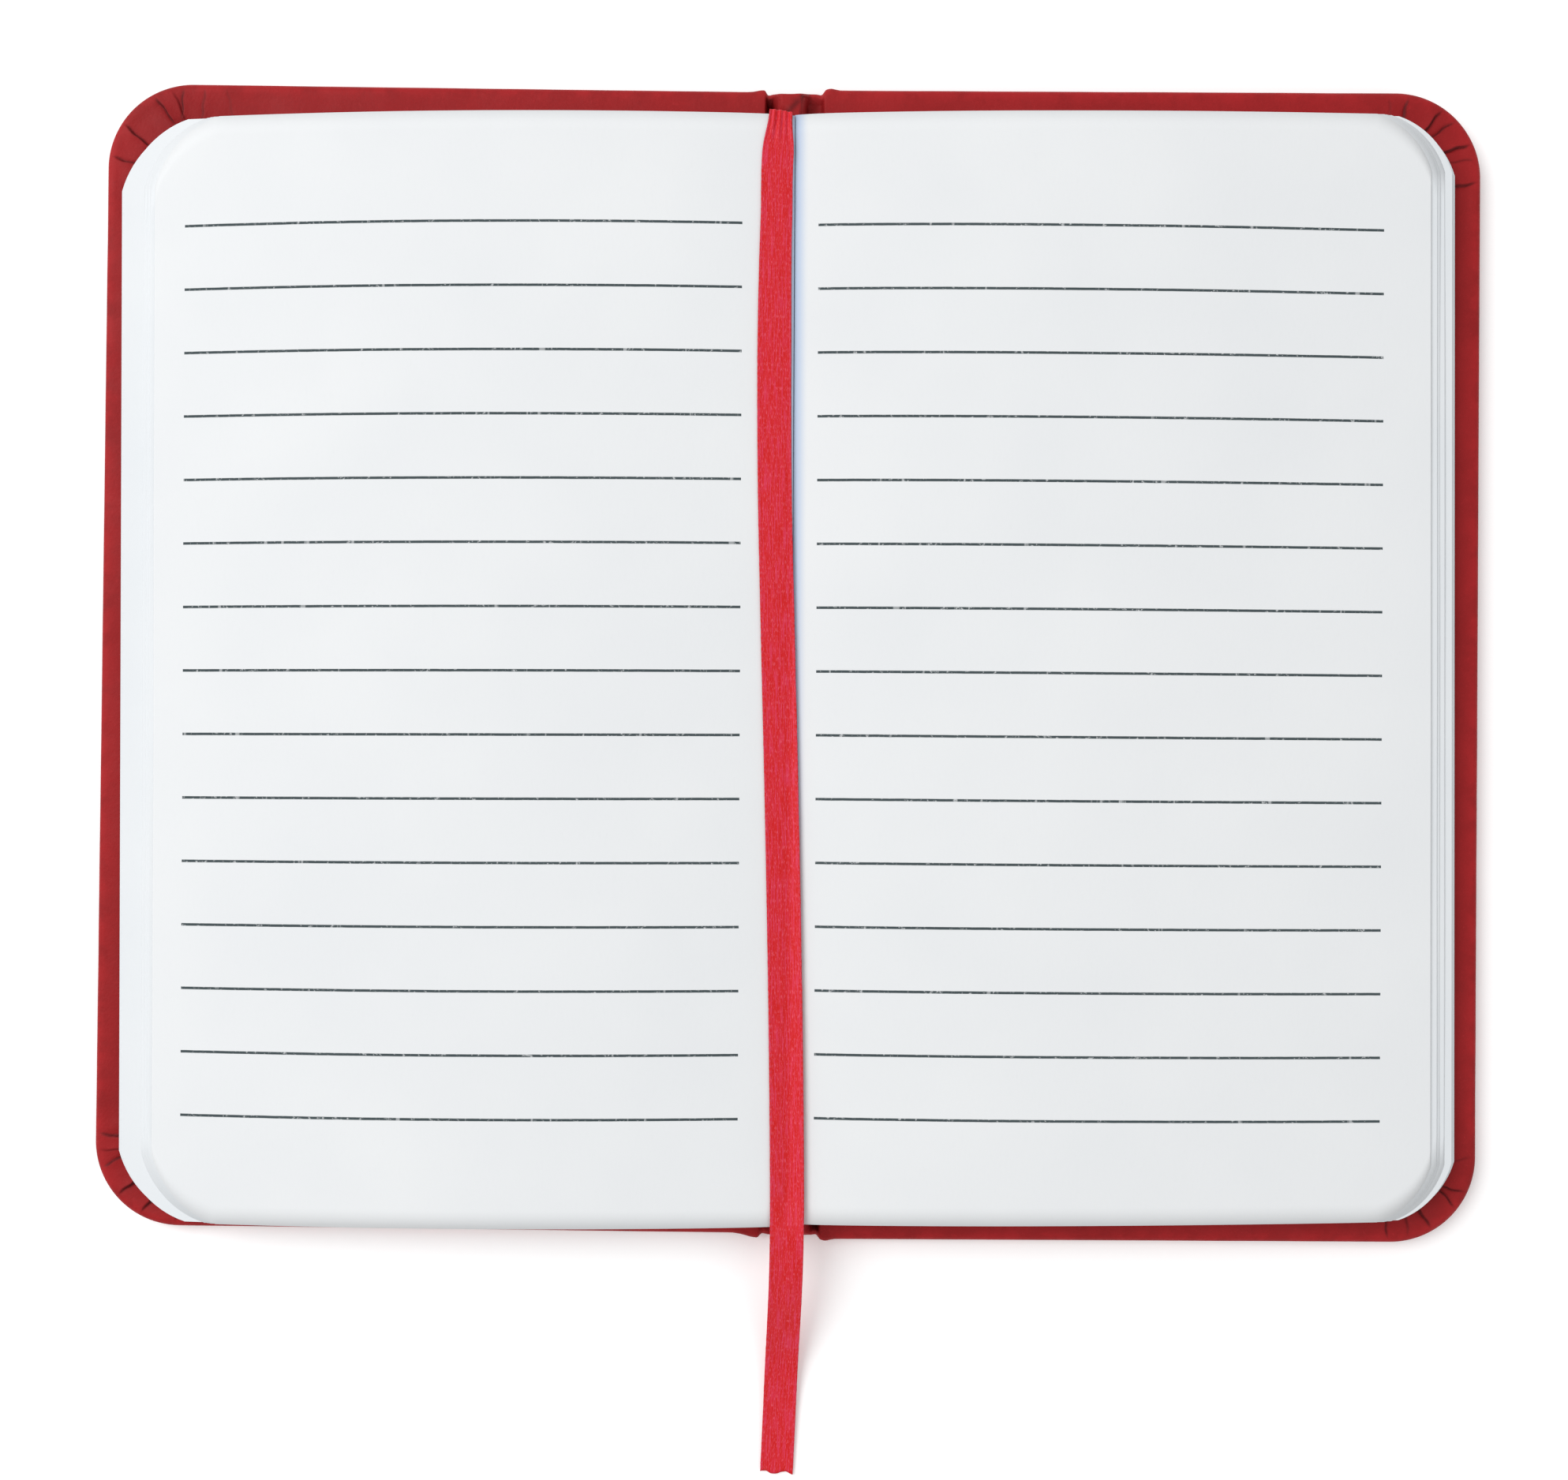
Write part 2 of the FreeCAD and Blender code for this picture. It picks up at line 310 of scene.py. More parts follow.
def leatherette_material():
    """Matte red leatherette: fine pebble grain, cloudy dye, rubbed edges, and painted shade in the
    pleats' creases and the hollows beside the spine's fold.
    """
    m = Maker("red_leatherette")
    where = m.place()
    cloud = m.noise(where, 90, 4, 0.6)
    base = m.ramp(cloud, [(0.25, (0.255, 0.0095, 0.011)), (0.75, (0.325, 0.0125, 0.0145))])
    speckle = m.noise(where, 2600, 2, 0.6)
    base = m.mix(m.span(speckle, 0.58, 0.8, 0, 0.3), base, (0.42, 0.022, 0.026))
    rubbed = m.math("MULTIPLY", m.value_of("wear"), m.span(m.noise(where, 420, 3, 0.6), 0.35, 0.62))
    base = m.mix(m.math("MULTIPLY", rubbed, 0.5), base, (0.47, 0.018, 0.022))
    # Painted shade: the pleats' creases and the hollows beside the spine's folded-up end are darkened in
    # colour.
    base = m.mix(m.math("MULTIPLY", m.value_of("painted_shade"), 0.85), base, (0.07, 0.004, 0.005))
    m.colour(base)
    cells = m.node("ShaderNodeTexVoronoi", feature="SMOOTH_F1")
    cells.inputs["Scale"].default_value = 2100
    cells.inputs["Smoothness"].default_value = 0.6
    m.link(where, cells.inputs["Vector"])
    grain = m.math("MULTIPLY_ADD", cells.outputs["Distance"], 0.7, m.noise(where, 5200, 2, 0.5))
    m.bump(grain, 0.34, 0.00009)
    m.roughness(m.span(m.noise(where, 260, 3, 0.6), 0.2, 0.8, 0.66, 0.54))
    m.set("Specular IOR Level", 0.16)
    return m.material


def paper_material(name, ruled=None, slope=0.0, tint=(0.755, 0.772, 0.787), warm=(0.782, 0.797, 0.808)):
    """Uncoated paper with faint mottling, fibres and, where asked, ruled lines and a painted bluish
    shade along the gutter fold.
    """
    m = Maker(name)
    where = m.place()
    cloud = m.noise(where, 55, 3, 0.5)
    base = m.ramp(cloud, [(0.3, tint), (0.7, warm)])
    fibre = m.noise(m.place((1, 0.35, 1)), 3000, 3, 0.65)
    base = m.mix(m.span(fibre, 0.5, 0.85, 0, 0.10), base, (0.67, 0.69, 0.705))
    if ruled:
        # Painted shade: a bluish darkening within about 1.6 mm of the gutter fold.
        gutter_shade_distance = m.math("ABSOLUTE", m.split(where)[0])
        base = m.mix(m.span(gutter_shade_distance, 0.0002, 0.0016, 0.75, 0), base, (0.40, 0.53, 0.74))
        base = m.mix(ruled_lines(m, where, ruled, slope), base, LINE_COLOUR)
    m.colour(base)
    tooth = m.math("ADD", m.noise(where, 900, 4, 0.6), fibre)
    m.bump(tooth, 0.22, 0.00004)
    m.roughness(m.span(cloud, 0.2, 0.8, 0.86, 0.74))
    m.set("Specular IOR Level", 0.12)
    return m.material


LINE_COLOUR = (0.038, 0.056, 0.062)
LINE_PITCH = 0.00689
LINE_COUNT = 15
LINE_MIDDLE = -0.00093
LINE_HALF = 0.00014


def ruled_lines(m, where, ends, slope):
    """1 on the printed lines between two distances from the gutter, with a worn print."""
    x, y, _z = m.split(where)
    across = m.math("ABSOLUTE", x)
    y = m.math("MULTIPLY_ADD", x, -slope, y)
    shaky = m.noise(m.place((1, 1, 1)), 700, 2, 0.6)
    offset = m.math("MULTIPLY_ADD", shaky, 0.00004, LINE_PITCH / 2 - LINE_MIDDLE - 0.00002)
    phase = m.math("WRAP", m.math("ADD", y, offset), LINE_PITCH, 0.0)
    distance = m.math("ABSOLUTE", m.math("SUBTRACT", phase, LINE_PITCH / 2))
    line = m.span(distance, LINE_HALF * 0.75, LINE_HALF * 1.3, 1, 0)
    reach = (LINE_COUNT - 1) / 2 * LINE_PITCH + LINE_PITCH / 2
    height = m.math("ABSOLUTE", m.math("SUBTRACT", y, LINE_MIDDLE))
    inside = m.math("LESS_THAN", height, reach)
    inside = m.math("MULTIPLY", inside, m.math("GREATER_THAN", across, ends[0]))
    inside = m.math("MULTIPLY", inside, m.math("LESS_THAN", across, ends[1]))
    worn = m.span(m.noise(where, 2400, 3, 0.7), 0.30, 0.45, 0.45, 0.97)
    gaps = m.span(m.noise(m.place((1, 0.05, 1)), 900, 2, 0.6), 0.29, 0.35, 0.6, 1)
    return m.math("MULTIPLY", m.math("MULTIPLY", line, inside), m.math("MULTIPLY", worn, gaps))


def ribbon_material():
    """Red satin: lengthwise floats in two reds, and a stitched selvedge."""
    m = Maker("red_satin")
    lane = m.place((1, 1, 1), "weave_place")
    across, _along, _z = m.split(lane)
    streak = m.noise(m.place((1, 0.045, 1), "weave_place"), 7000, 2, 0.6)
    fine = m.noise(m.place((1, 0.12, 1), "weave_place"), 16000, 2, 0.6)
    base = m.ramp(streak, [(0.36, (0.60, 0.0085, 0.009)), (0.50, (0.64, 0.014, 0.019)),
                           (0.62, (0.67, 0.032, 0.078))])
    base = m.mix(m.span(fine, 0.55, 0.66, 0, 0.62), base, (0.83, 0.130, 0.190))
    edge = m.span(m.math("ABSOLUTE", across), 0.00150, 0.00172)
    stitch = m.node("ShaderNodeTexWave", bands_direction="Y")
    stitch.inputs["Scale"].default_value = 520
    stitch.inputs["Distortion"].default_value = 1.2
    m.link(lane, stitch.inputs["Vector"])
    ladder = m.math("MULTIPLY", edge, m.span(stitch.outputs["Fac"], 0.35, 0.75))
    base = m.mix(m.math("MULTIPLY", ladder, 0.45), base, (0.62, 0.05, 0.09))
    m.colour(base)
    floats = m.math("MULTIPLY_ADD", streak, 0.8, fine)
    m.bump(m.math("ADD", floats, m.math("MULTIPLY", ladder, 0.7)), 0.4, 0.00008)
    m.roughness(m.span(streak, 0.25, 0.75, 0.56, 0.44))
    m.set("Specular IOR Level", 0.2)
    return m.material


def plain_stock_material(name, low, high, scale, bump_distance):
    """Board, cloth or thread: a mottled stock with its own tooth."""
    m = Maker(name)
    where = m.object_place()
    base = m.ramp(m.noise(where, scale, 4, 0.65), [(0.3, low), (0.7, high)])
    m.colour(base)
    m.bump(m.noise(where, scale * 6, 3, 0.6), 0.4, bump_distance)
    m.roughness(m.span(m.noise(where, scale * 2, 2, 0.5), 0.2, 0.8, 0.92, 0.78))
    return m.material


def mull_material():
    """Open-weave spine cloth."""
    m = Maker("mull_cloth")
    where = m.place()
    warp = m.node("ShaderNodeTexWave", bands_direction="Y")
    weft = m.node("ShaderNodeTexWave", bands_direction="Z")
    for wave in (warp, weft):
        wave.inputs["Scale"].default_value = 620
        wave.inputs["Distortion"].default_value = 0.8
        m.link(where, wave.inputs["Vector"])
    weave = m.math("MAXIMUM", warp.outputs["Fac"], weft.outputs["Fac"])
    m.colour(m.ramp(weave, [(0.2, (0.38, 0.35, 0.29)), (0.8, (0.74, 0.70, 0.62))]))
    m.bump(weave, 0.6, 0.0001)
    m.set("Roughness", 0.9)
    return m.material


def floor_material():
    m = Maker("pale_floor")
    where = m.object_place()
    m.colour(m.ramp(m.noise(where, 3, 2, 0.5), [(0.3, (0.97, 0.97, 0.97)), (0.7, (0.98, 0.98, 0.98))]))
    m.set("Roughness", 0.9)
    m.set("Specular IOR Level", 0.1)
    m.set("Emission Color", (1, 1, 1, 1))
    m.set("Emission Strength", 0.10)
    return m.material


LEATHERETTE = leatherette_material()
LEFT_RULED = paper_material("ruled_paper_left", (0.0056, 0.06615), 0.0032)
RIGHT_RULED = paper_material("ruled_paper_right", (0.0026, 0.06385), -0.0022)
# A darker, bluer copy of the page paper for the lower leaves and the stacks' edges: painted shade.
SHADED_PAPER = paper_material("page_paper_painted_shade", tint=(0.725, 0.755, 0.780), warm=(0.760, 0.782, 0.800))
ENDPAPER = paper_material("endpaper", tint=(0.70, 0.705, 0.70), warm=(0.74, 0.74, 0.73))
SATIN = ribbon_material()
GREYBOARD = plain_stock_material("greyboard", (0.23, 0.21, 0.18), (0.34, 0.32, 0.28), 700, 0.0001)
THREAD = plain_stock_material("waxed_thread", (0.66, 0.63, 0.55), (0.80, 0.78, 0.70), 1500, 0.00005)
MULL = mull_material()

# ---------------------------------------------------------------- the pages


def page_height(side, across):
    """Height of the open page at a distance from the gutter."""
    p = PAGES[side]
    inner = p["inner_fall"] * (np.clip(p["crest_x"] - across, 0, None) / p["crest_x"]) ** 2
    reach = BLOCK_WIDTH - p["crest_x"]
    outer = p["outer_fall"] * (np.clip(across - p["crest_x"], 0, None) / reach) ** 2
    dip = p["dip"] * np.exp(-np.abs(across) / DIP_REACH)
    return p["crest_z"] - inner - outer - dip


def layer_height(side, across, share):
    """Height of the layer at a share of the block, with the lower leaves' fore-edge droop."""
    p = PAGES[side]
    top = page_height(side, across)
    droop = p["droop"] * smooth(65.0, BLOCK_WIDTH, across) * np.clip(share * 1.3 - 0.1, 0, 1)
    return BLOCK_BASE + share * (top - BLOCK_BASE) - droop * (share < LEAF_SHARE)


def across_samples(side, inner, width, straight, bend):
    """Distances from the gutter, closer together near it and round the cut corner."""
    cut, radius = PAGES[side]["cut"], PAGES[side]["radius"]
    start = inner + (width - cut - inner) * np.linspace(0, 1, straight) ** 1.6
    middle = corner_middle(side)
    turn = np.linspace(math.asin((middle - cut) / radius), math.asin(middle / radius), bend + 1)
    return np.concatenate([start, width - middle + radius * np.sin(turn[1:])])


def corner_middle(side):
    """How far the corner cutter's centre lies inside both edges."""
    cut, radius = PAGES[side]["cut"], PAGES[side]["radius"]
    return cut / 2 + math.sqrt((radius ** 2 - cut ** 2 / 2) / 2)


def edge_reach(side, across, width, half):
    """Half-height of a leaf at a distance from the gutter, with its die-cut corner."""
    middle = corner_middle(side)
    over = np.clip(across - (width - middle), middle - PAGES[side]["cut"], middle)
    return half - middle + np.sqrt(PAGES[side]["radius"] ** 2 - over ** 2)


def leaf_middle(side, across):
    """The leaves' centre line, which leans a little as they were trimmed."""
    p = PAGES[side]
    return (BLOCK_HEAD + BLOCK_TAIL) / 2 + p["shift"] + p["slope"] * across


def leaf_piece(name, side, inner, width, share, material, *, straight=46, rows=61, near=0.0,
               lift=0.0, wave=0.0, seed=0.0, thick=0.1):
    """One leaf as a thin closed sheet that follows the arched page.

    near is how far from the gutter it is divided finely, for a leaf that bends there.
    """
    p = PAGES[side]
    columns = across_samples(side, inner, width, straight, 22)
    if near:
        columns = np.concatenate([np.linspace(inner, near, 34), columns[columns > near + 0.3]])
    rows = np.linspace(0, 1, rows)
    half = (BLOCK_HEAD - BLOCK_TAIL) / 2
    u, v = np.meshgrid(columns, rows)
    y = leaf_middle(side, u) + (2 * v - 1) * edge_reach(side, u, width, half)
    ripple = np.array([[wander(a * 0.035, b * 0.03, seed) for a in columns]
                       for b in np.linspace(BLOCK_TAIL, BLOCK_HEAD, len(rows))])
    rise = wave * ripple * smooth(12, 60, u) + lift * smooth(40, width, u) ** 2
    top = layer_height(side, u, share) + rise
    bottom = top - thick
    x = p["sign"] * u - p["lean"] * y * smooth(5, 40, u)
    upper = np.stack([x, y, top], -1).reshape(-1, 3)
    lower = np.stack([x, y, bottom], -1).reshape(-1, 3)
    count = len(columns)
    total = len(rows) * count
    flip = p["sign"] < 0
    faces = grid_faces(len(rows), count, 0, flip)
    faces += grid_faces(len(rows), count, total, not flip)
    border = list(range(count)) + [r * count + count - 1 for r in range(1, len(rows))]
    border += [total - 1 - k for k in range(1, count)]
    border += [r * count for r in range(len(rows) - 2, 0, -1)]
    for a, b in zip(border, border[1:] + border[:1]):
        face = [a, a + total, b + total, b]
        faces.append(face[::-1] if flip else face)
    obj = build_mesh(name, np.concatenate([upper, lower]), faces, material)
    store_rest(obj)
    return obj


def outline(side, share, width, inset):
    """Closed outline of a stack of leaves at one level: tail, fore-edge, head, back."""
    p = PAGES[side]
    straight, bend, fore = STACK_SAMPLES
    inner = 2.2 - 1.15 * share
    half = (BLOCK_HEAD - BLOCK_TAIL) / 2 - inset
    width = width - inset
    columns = across_samples(side, inner, width, straight, bend)
    reach = edge_reach(side, columns, width, half)
    middle = leaf_middle(side, columns)
    tail = np.stack([columns, middle - reach], -1)
    limit = half - p["cut"]
    edge = np.stack([np.full(fore, width), middle[-1] + np.linspace(-limit, limit, fore)], -1)
    head = np.stack([columns, middle + reach], -1)[::-1]
    back = np.stack([np.full(fore, inner), middle[0] + np.linspace(half, -half, fore)], -1)
    points = np.concatenate([tail, edge[1:-1], head, back[1:-1]])
    height = layer_height(side, points[:, 0], share)
    lean = p["lean"] * points[:, 1] * smooth(5, 40, points[:, 0])
    return np.stack([p["sign"] * points[:, 0] - lean, points[:, 1], height], -1)


def stack_piece(name, side, low_share, high_share, leaves, width_at, material, seed):
    """Several leaves as one closed piece with a groove between each pair at the edges."""
    rings = []
    step = (high_share - low_share) / leaves
    groove = 0.07
    for k in range(leaves):
        low = low_share + k * step
        ragged = 0.05 * wander(seed, k * 1.7)
        width = width_at(low + step / 2)
        for share, extra in ((low + step * 0.06, groove), (low + step * 0.16, 0.0),
                             (low + step * 0.84, 0.0), (low + step * 0.94, groove)):
            rings.append(outline(side, share, width, ragged + extra + 0.06))
    count = len(rings[0])
    flip = PAGES[side]["sign"] < 0
    faces = ring_faces(len(rings), count, flip)
    points = np.concatenate(rings)
    faces += stack_cap(0, not flip)
    faces += stack_cap((len(rings) - 1) * count, flip)
    obj = build_mesh(name, points, faces, material)
    obj.data.polygons.foreach_set("use_smooth", [False] * len(obj.data.polygons))
    store_rest(obj)
    return obj


def stack_cap(first, flip):
    """Faces that close a stack's outline, joining the tail edge to the head edge."""
    straight, bend, fore = STACK_SAMPLES
    columns = straight + bend
    faces = []
    head_end = columns + (fore - 2) + columns - 1
    for k in range(columns - 1):
        a, b = first + k, first + k + 1
        c, d = first + head_end - k - 1, first + head_end - k
        face = [a, b, c, d]
        faces.append(face[::-1] if flip else face)
    edge = [first + columns - 1 + k for k in range(fore)]
    faces.append(edge if not flip else edge[::-1])
    back = [first + head_end + k for k in range(fore - 1)] + [first]
    faces.append(back if not flip else back[::-1])
    return faces


def bulk_width(side):
    low, high = PAGES[side]["bulk"]
    return lambda share: low + (high - low) * smooth(0.3, SECTION_SHARE, share)


def make_pages():
    section_step = (SECTION_SHARE - FLYLEAF_SHARE) / 4
    for side, cover, body in (("left", "front", "left_pages"), ("right", "back", "right_pages")):
        width_at = bulk_width(side)
        flyleaf = stack_piece(cover + "_flyleaf_sheet", side, 0.0, FLYLEAF_SHARE, 1, width_at,
                              ENDPAPER, 3.3)
        finish_piece(flyleaf, body, "endpaper", cover + "_flyleaf")
        for k in range(4):
            number = k + 1 if side == "left" else 8 - k
            low = FLYLEAF_SHARE + k * section_step
            piece = stack_piece("section_%d_leaves" % number, side, low, low + section_step, 11,
                                width_at, SHADED_PAPER, number * 5.1)
            finish_piece(piece, body, "ruled_paper", "section_%d" % number)
        upper = upper_sheets(side)
        finish_piece(upper, body, "ruled_paper", cover + "_upper_leaves")
    left = leaf_piece("left_page", "left", LEAF_FOLD, PAGES["left"]["top"], 1.0, LEFT_RULED,
                      wave=0.14, seed=2.0, lift=0.04)
    finish_piece(left, "left_pages", "ruled_paper", "left_leaf")
    right = leaf_piece("right_page", "right", LEAF_FOLD, PAGES["right"]["top"], 1.0, RIGHT_RULED,
                       wave=0.10, seed=7.0, lift=0.04, near=4.6)
    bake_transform(right)
    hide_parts("right_leaf")


def upper_sheets(side):
    """The few loose leaves under the open page, joined as one piece."""
    sheets = []
    fan = PAGES[side]["fan"]
    for k, width in enumerate(fan):
        share = SECTION_SHARE + (k + 1) * (UPPER_SHARE - SECTION_SHARE) / len(fan)
        sheets.append(leaf_piece("%s_upper_%d" % (side, k), side, 1.0, width, share, SHADED_PAPER,
                                 straight=20, rows=31, wave=0.10, seed=11.0 + k,
                                 lift=0.02 * k, thick=0.13))
    return join_pieces(side + "_upper_sheets", sheets)


def join_pieces(name, pieces):
    """One object from several, keeping their first material and stored places."""
    points, faces = [], []
    material = pieces[0].data.materials[0]
    for piece in pieces:
        first = len(points)
        points += [v.co / MM for v in piece.data.vertices]
        faces += [[first + i for i in face.vertices] for face in piece.data.polygons]
        bpy.data.objects.remove(piece)
    obj = build_mesh(name, np.array(points), faces, material)
    store_rest(obj)
    return obj


def finish_piece(obj, body, slot, *nodes):
    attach(obj, body)
    if nodes:
        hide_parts(*nodes)


# ---------------------------------------------------------------- the covers

EDGE_ROUND = 0.75
BOARD_INSET = 0.15
PASTE_INSET = 0.6
PASTE_CORNER = 16.0
ARC_STEP = math.radians(1) * 7.5
# Pleats round each corner: (place in degrees round the corner, height, side of the lap)
PLEATS = {
    (-1, 1): ((8, 0.26, 1), (33, 0.36, 1), (61, 0.34, -1), (74, 0.10, 1), (84, 0.20, -1),
              (101, 0.13, -1), (118, 0.07, -1)),
    (1, 1): ((-4, 0.22, -1), (12, 0.12, 1), (23, 0.28, -1), (43, 0.34, 1), (56, 0.28, -1),
             (81, 0.26, 1), (97, 0.07, 1)),
    (-1, -1): ((-7, 0.22, -1), (6, 0.10, 1), (20, 0.28, -1), (41, 0.36, 1), (61, 0.32, 1),
               (87, 0.18, 1)),
    (1, -1): ((-2, 0.08, 1), (24, 0.30, 1), (39, 0.34, -1), (60, 0.30, 1), (78, 0.12, 1),
              (94, 0.24, -1)),
}


def crown_share(turned):
    """Where the spine's turned-in end is folded up: 1 on the fold, 0 beside it."""
    return smooth(-2.6, -1.4, turned) * (1 - smooth(0.6, 1.8, turned))


def spine_top(x, y):
    """Upper surface of the covering between the boards, folded up along the middle.

    The turned-in ends (waist, crown, lip) pass into the ridge under the sections (leg) as body
    goes from 0 to 1. The ends lean to one side, and to the other side at the tail (turned).
    """
    inward = COVER_HALF - RIM_INSET - np.abs(y)
    turned = x * np.where(y < 0, -1.0, 1.0)
    share = crown_share(turned)
    crown = CROWN_LOW + (CROWN_TOP - CROWN_LOW) * share
    from_rim = inward - np.where(y < 0, CROWN_SET_BACK[-1], CROWN_SET_BACK[1]) * share
    body = smooth(2.0, 4.3, inward)
    leg = np.clip((RIDGE_FOOT - np.abs(x)) / (RIDGE_FOOT - RIDGE_HALF), 0, 1)
    flare = 2.6 * np.exp(-np.clip(inward - 0.3, 0, None) / 0.4)
    waist = smooth(-2.2 - flare, -1.4 - flare, turned) * (1 - smooth(0.65 + flare, 1.35 + flare, turned))
    height = crown + (RIDGE_TOP - crown) * smooth(1.2, 4.2, inward)
    creases = 0.10 * np.sin(turned * 3.1 + inward * 2.4) * smooth(-0.5, 1.0, turned)
    floor = SPINE_FLOOR + (1.1 * smooth(0.7, 1.6, turned) + creases) * (1 - body)
    inside = floor + (height - floor) * (waist * (1 - body) + leg * body)
    lip = 1 - smooth(0.30, 1.0, from_rim)
    return inside * (1 - lip) + (RIM_TOP + (CROWN_TOP - RIM_TOP) * share) * lip


def cover_levels(x, y):
    """Lower and upper height of the covering at a place."""
    inward = COVER_HALF - RIM_INSET - np.abs(y)
    top = spine_top(x, y)
    thick = 0.52 + 0.5 * (1 - smooth(0.2, 1.2, inward))
    over_board = smooth(2.9, 3.35, np.abs(x))
    low = np.clip(top - thick, 0, None) * (1 - smooth(RIDGE_FOOT, 3.3, np.abs(x)))
    return low, top * (1 - over_board) + COVER_TOP * over_board


def hollow_shade(x, y):
    """Painted shade for the two hollows beside the spine's folded-up end."""
    inward = COVER_HALF - RIM_INSET - abs(y)
    turned = x if y > 0 else -x
    right = math.exp(-((turned - 1.05 + 0.85 * (inward - 0.9)) / 0.5) ** 2) * smooth(0.7, 1.2, inward)
    left = math.exp(-((turned + 2.8) / 0.42) ** 2) * smooth(0.4, 0.8, inward)
    return 0.85 * float(max(left, right) * (1 - smooth(3.2, 4.2, inward)))


def rim_inset(x, side):
    """How far the covering's head and tail edges stand in between the boards."""
    away = abs(x)
    crown = CROWN_SET_BACK[side] * float(crown_share(x * side))
    bulge = (0.20 if x > 0 else 0.07) * math.exp(-((away - 4.0) / 0.6) ** 2)
    waver = 0.16 * wander(x * 0.55, 6.0)
    return float((RIM_INSET + waver) * (1 - smooth(2.95, 3.5, away))) - bulge + crown


def pleat_relief(sides, turn, inset):
    """Height of the pleats and the painted shade along their creases at a place round a corner."""
    reach = float(smooth(0.25, 2.4, inset) * (1 - smooth(3.6, 4.8, inset))) * 1.2
    height, painted_shade = 0.0, 0.0
    for place, amount, lap in PLEATS[sides]:
        lean = 0.22 * inset * math.sin(place) + 0.06 * math.sin(inset * 3.1 + place)
        gap = ((turn - place) * ARC_STEP + lean) * lap
        if gap < 0:
            height += amount * math.exp(gap / 1.1) * reach
        else:
            height -= 0.5 * amount * math.exp(-gap / 0.35) * reach
        # Painted shade along each pleat's crease.
        start = float(smooth(0.35, 1.3, inset) * (1 - smooth(3.6, 4.8, inset)))
        width = 0.05 + 0.10 * start
        painted_shade = max(painted_shade, math.exp(-((gap - 0.04) / width) ** 2) * start * min(1, amount / 0.2))
    puffs = 0.05 * wander(turn * 0.12, inset * 0.5, sides[0] + 2 * sides[1])
    return height + puffs * reach, painted_shade


def station_list():
    """Stations round the cover's outline: kind, sign of x, sign of y, and a coordinate."""
    flat_x = COVER_OUTER - CORNER
    flat_y = COVER_HALF - CORNER
    xs = np.concatenate([np.linspace(0, 0.6, 13), np.linspace(0.7, 4.4, 34),
                         np.linspace(5.0, 10, 8), np.linspace(11.5, flat_x - 5, 40),
                         np.linspace(flat_x - 4.8, flat_x, 34)])
    xs = np.unique(np.concatenate([-xs, xs]))
    ys = np.concatenate([np.linspace(0, flat_y - 3, 30), np.linspace(flat_y - 2.8, flat_y, 20)])
    ys = np.unique(np.concatenate([-ys, ys]))
    turn = np.linspace(0, 90, 121)[1:-1]
    stations = [("head", x) for x in xs]
    stations += [("corner", 1, 1, a) for a in turn[::-1]]
    stations += [("fore", 1, y) for y in ys[::-1]]
    stations += [("corner", 1, -1, a) for a in turn]
    stations += [("tail", x) for x in xs[::-1]]
    stations += [("corner", -1, -1, a) for a in turn[::-1]]
    stations += [("fore", -1, y) for y in ys]
    stations += [("corner", -1, 1, a) for a in turn]
    return stations, xs, ys


def station_place(station, inset):
    flat_x = COVER_OUTER - CORNER
    flat_y = COVER_HALF - CORNER
    fading = 1 - float(smooth(1.5, CORNER - 0.4, inset))
    if station[0] == "head":
        return station[1], COVER_HALF - rim_inset(station[1], 1) * fading - inset
    if station[0] == "tail":
        return station[1], inset + rim_inset(station[1], -1) * fading - COVER_HALF
    if station[0] == "fore":
        return station[1] * (COVER_OUTER - inset), station[2]
    angle = math.radians(station[3])
    radius = CORNER - inset
    return (station[1] * (flat_x + radius * math.cos(angle)),
            station[2] * (flat_y + radius * math.sin(angle)))


def station_turn(station):
    """Which corner a station belongs to and its place round it in degrees."""
    if station[0] == "corner":
        return (station[1], station[2]), station[3]
    if station[0] == "fore":
        beyond = COVER_HALF - CORNER - abs(station[2])
        return (station[1], 1 if station[2] > 0 else -1), -beyond / ARC_STEP
    beyond = COVER_OUTER - CORNER - abs(station[1])
    sides = (1 if station[1] > 0 else -1, 1 if station[0] == "head" else -1)
    return sides, 90 + beyond / ARC_STEP


def rail_list():
    """Rails across the cover's edge: (face, inset or angle), from inside below to inside above."""
    rails = [("below", d) for d in (CORNER, 6.5, 4.0, 2.2, 1.3)]
    rails += [("lower_turn", a) for a in np.linspace(0, 90, 6)]
    rails += [("upper_turn", a) for a in np.linspace(0, 90, 6)]
    rails += [("above", d) for d in np.concatenate([np.linspace(1.05, 4.2, 12), [5.2, 6.8, CORNER]])]
    return rails


